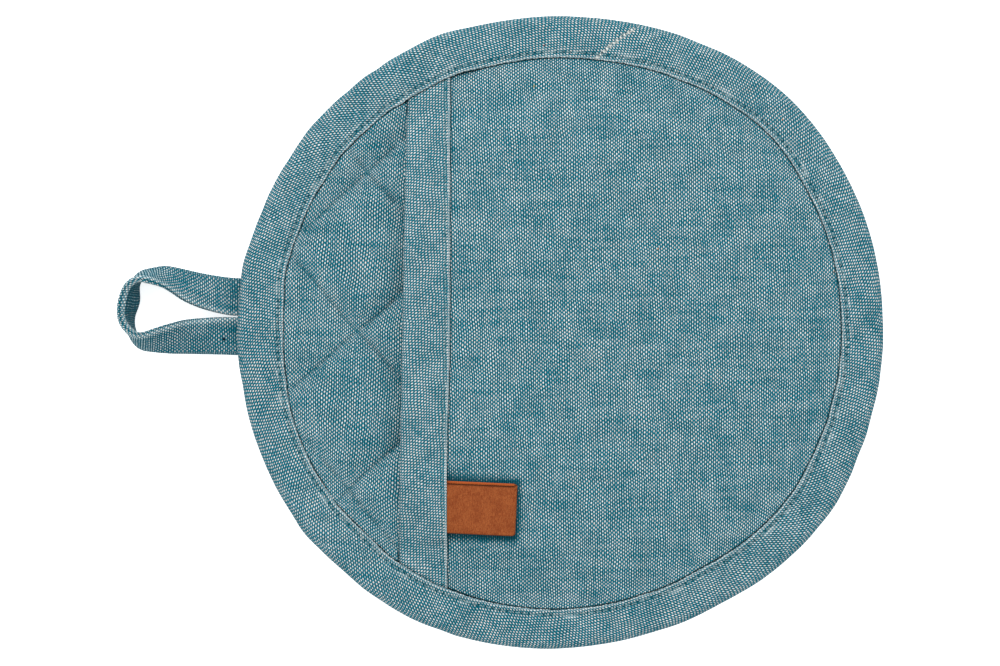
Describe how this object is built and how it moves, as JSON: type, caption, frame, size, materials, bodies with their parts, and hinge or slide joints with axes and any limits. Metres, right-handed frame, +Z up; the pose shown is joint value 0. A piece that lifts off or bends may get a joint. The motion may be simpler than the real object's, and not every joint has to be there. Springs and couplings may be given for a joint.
{
  "type": "pot holder",
  "caption": "Round quilted cloth pot holder with a hand pocket, bound rim, fold-over mouth strip, leather tab and hanging loop, lying flat on its back.",
  "frame": {"origin": "middle of the round, on the plane that its back rests on", "axes": "+Z up, out of the pocket side; +X across the round, away from the hanging loop; +Y along the pocket's mouth"},
  "size_m": [0.2491, 0.2063, 0.0144],
  "materials": {
    "cloth": "plain woven cotton, teal and white yarns",
    "leather": "smooth tan leather, matt"
  },
  "bodies": {
    "root": {"quilted_pad": "cloth", "pocket_panel": "cloth", "pocket_edge_strip": "cloth", "rim_binding": "cloth", "hanging_loop": "cloth", "leather_tab": "leather"}
  },
  "joints": []
}
